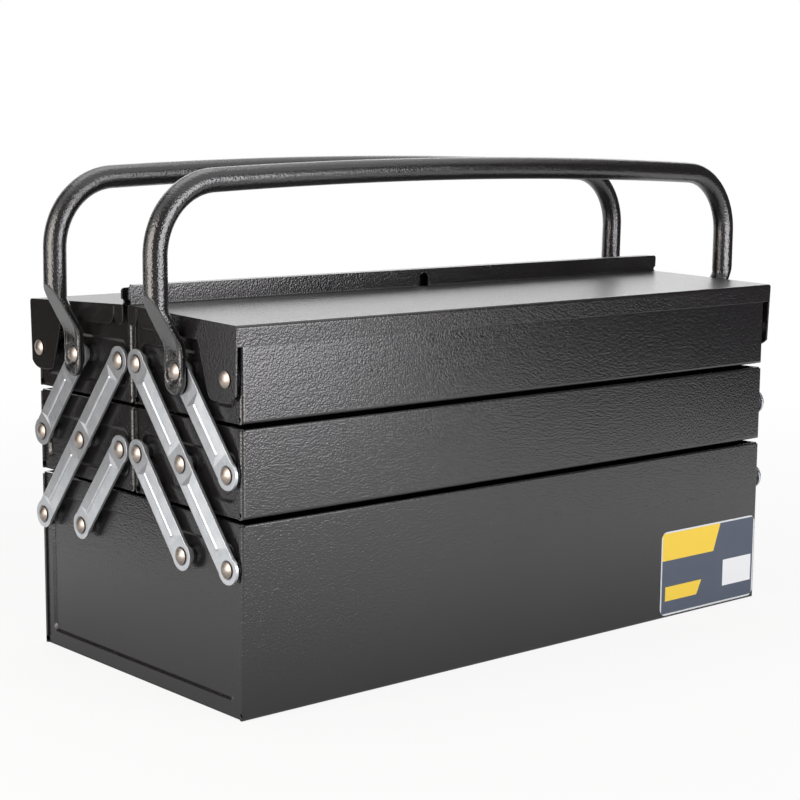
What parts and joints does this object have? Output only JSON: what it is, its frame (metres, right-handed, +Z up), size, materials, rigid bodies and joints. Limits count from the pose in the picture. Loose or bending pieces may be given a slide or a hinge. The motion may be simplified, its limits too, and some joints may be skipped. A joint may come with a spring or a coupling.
{
  "type": "cantilever tool box",
  "caption": "Steel cantilever tool box whose lidded trays swing up and out on pivoting arms over a deep bottom box, carried by swinging tube handles.",
  "frame": {"origin": "middle of the footprint, at the level of the floor that the closed box stands on", "axes": "+X along the length, +Y from front to rear, +Z up; the padlock lip and the label belong to the front, at -Y"},
  "size_m": [0.469, 0.203, 0.2889],
  "materials": {
    "black_powder_coat": "semi-gloss black textured powder coat, fine hammered grain",
    "zinc_steel": "bright zinc-plated strip steel",
    "nickel_rivet": "polished nickel-plated domed rivet heads with a warm tint",
    "label": "printed film label without lettering: slate-blue ground with plain yellow and white blocks"
  },
  "bodies": {
    "box": {"box_shell": "black_powder_coat", "box_end_left": "black_powder_coat", "box_end_right": "black_powder_coat", "box_rivets": "nickel_rivet", "box_washers": "zinc_steel", "label_plate": "label"},
    "front_long_arms": {"front_long_arm_left": "zinc_steel", "front_long_arm_right": "zinc_steel"},
    "front_short_arms": {"front_short_arm_left": "zinc_steel", "front_short_arm_right": "zinc_steel"},
    "front_mid_tray": {"front_mid_shell": "black_powder_coat", "front_mid_end_left": "black_powder_coat", "front_mid_end_right": "black_powder_coat", "front_mid_rivets": "nickel_rivet", "front_mid_washers": "zinc_steel"},
    "front_link_arms": {"front_link_arm_left": "zinc_steel", "front_link_arm_right": "zinc_steel"},
    "front_top_tray": {"front_top_shell": "black_powder_coat", "front_top_end_left": "black_powder_coat", "front_top_end_right": "black_powder_coat", "front_top_rivets": "nickel_rivet", "front_top_washers": "zinc_steel", "front_lid_rivets": "nickel_rivet", "front_lid_spacers": "zinc_steel", "front_handle_rivets": "nickel_rivet"},
    "front_lid": {"front_lid": "black_powder_coat"},
    "front_handle": {"front_handle": "black_powder_coat"},
    "rear_long_arms": {"rear_long_arm_left": "zinc_steel", "rear_long_arm_right": "zinc_steel"},
    "rear_short_arms": {"rear_short_arm_left": "zinc_steel", "rear_short_arm_right": "zinc_steel"},
    "rear_mid_tray": {"rear_mid_shell": "black_powder_coat", "rear_mid_end_left": "black_powder_coat", "rear_mid_end_right": "black_powder_coat", "rear_mid_rivets": "nickel_rivet", "rear_mid_washers": "zinc_steel"},
    "rear_link_arms": {"rear_link_arm_left": "zinc_steel", "rear_link_arm_right": "zinc_steel"},
    "rear_top_tray": {"rear_top_shell": "black_powder_coat", "rear_top_end_left": "black_powder_coat", "rear_top_end_right": "black_powder_coat", "rear_top_rivets": "nickel_rivet", "rear_top_washers": "zinc_steel", "rear_lid_rivets": "nickel_rivet", "rear_lid_spacers": "zinc_steel", "rear_handle_rivets": "nickel_rivet"},
    "rear_lid": {"rear_lid": "black_powder_coat"},
    "rear_handle": {"rear_handle": "black_powder_coat"}
  },
  "joints": [
    {"name": "front_open", "type": "hinge", "parent": "box", "child": "front_long_arms", "pos_m": [0, -0.0918, 0.08], "axis": [1, 0, 0], "range_deg": [0, 82.5]},
    {"name": "front_short_arms_turn", "type": "hinge", "parent": "box", "child": "front_short_arms", "pos_m": [0, -0.0503, 0.08], "axis": [1, 0, 0], "range_deg": [0, 82.5]},
    {"name": "front_mid_tray_level", "type": "hinge", "parent": "front_long_arms", "child": "front_mid_tray", "pos_m": [0, -0.0503, 0.1295], "axis": [1, 0, 0], "range_deg": [-82.5, 0]},
    {"name": "front_top_tray_level", "type": "hinge", "parent": "front_long_arms", "child": "front_top_tray", "pos_m": [0, -0.0088, 0.179], "axis": [1, 0, 0], "range_deg": [-82.5, 0]},
    {"name": "front_link_arms_turn", "type": "hinge", "parent": "front_mid_tray", "child": "front_link_arms", "pos_m": [0, -0.0918, 0.1295], "axis": [1, 0, 0], "range_deg": [0, 82.5]},
    {"name": "front_lid_open", "type": "hinge", "parent": "front_top_tray", "child": "front_lid", "pos_m": [0, -0.0918, 0.179], "axis": [1, 0, 0], "range_deg": [0, 33]},
    {"name": "front_handle_swing", "type": "hinge", "parent": "front_top_tray", "child": "front_handle", "pos_m": [0, -0.0503, 0.179], "axis": [1, 0, 0], "range_deg": [-24, 141]},
    {"name": "rear_open", "type": "hinge", "parent": "box", "child": "rear_long_arms", "pos_m": [0, 0.0918, 0.08], "axis": [-1, 0, 0], "range_deg": [0, 82.5]},
    {"name": "rear_short_arms_turn", "type": "hinge", "parent": "box", "child": "rear_short_arms", "pos_m": [0, 0.0503, 0.08], "axis": [-1, 0, 0], "range_deg": [0, 82.5]},
    {"name": "rear_mid_tray_level", "type": "hinge", "parent": "rear_long_arms", "child": "rear_mid_tray", "pos_m": [0, 0.0503, 0.1295], "axis": [-1, 0, 0], "range_deg": [-82.5, 0]},
    {"name": "rear_top_tray_level", "type": "hinge", "parent": "rear_long_arms", "child": "rear_top_tray", "pos_m": [0, 0.0088, 0.179], "axis": [-1, 0, 0], "range_deg": [-82.5, 0]},
    {"name": "rear_link_arms_turn", "type": "hinge", "parent": "rear_mid_tray", "child": "rear_link_arms", "pos_m": [0, 0.0918, 0.1295], "axis": [-1, 0, 0], "range_deg": [0, 82.5]},
    {"name": "rear_lid_open", "type": "hinge", "parent": "rear_top_tray", "child": "rear_lid", "pos_m": [0, 0.0918, 0.179], "axis": [-1, 0, 0], "range_deg": [0, 33]},
    {"name": "rear_handle_swing", "type": "hinge", "parent": "rear_top_tray", "child": "rear_handle", "pos_m": [0, 0.0503, 0.179], "axis": [-1, 0, 0], "range_deg": [-23, 142]}
  ],
  "couplings": [
    {"joint": "front_short_arms_turn", "follows": "front_open", "ratio": 1},
    {"joint": "front_mid_tray_level", "follows": "front_open", "ratio": -1},
    {"joint": "front_top_tray_level", "follows": "front_open", "ratio": -1},
    {"joint": "front_link_arms_turn", "follows": "front_open", "ratio": 1},
    {"joint": "rear_short_arms_turn", "follows": "rear_open", "ratio": 1},
    {"joint": "rear_mid_tray_level", "follows": "rear_open", "ratio": -1},
    {"joint": "rear_top_tray_level", "follows": "rear_open", "ratio": -1},
    {"joint": "rear_link_arms_turn", "follows": "rear_open", "ratio": 1}
  ]
}
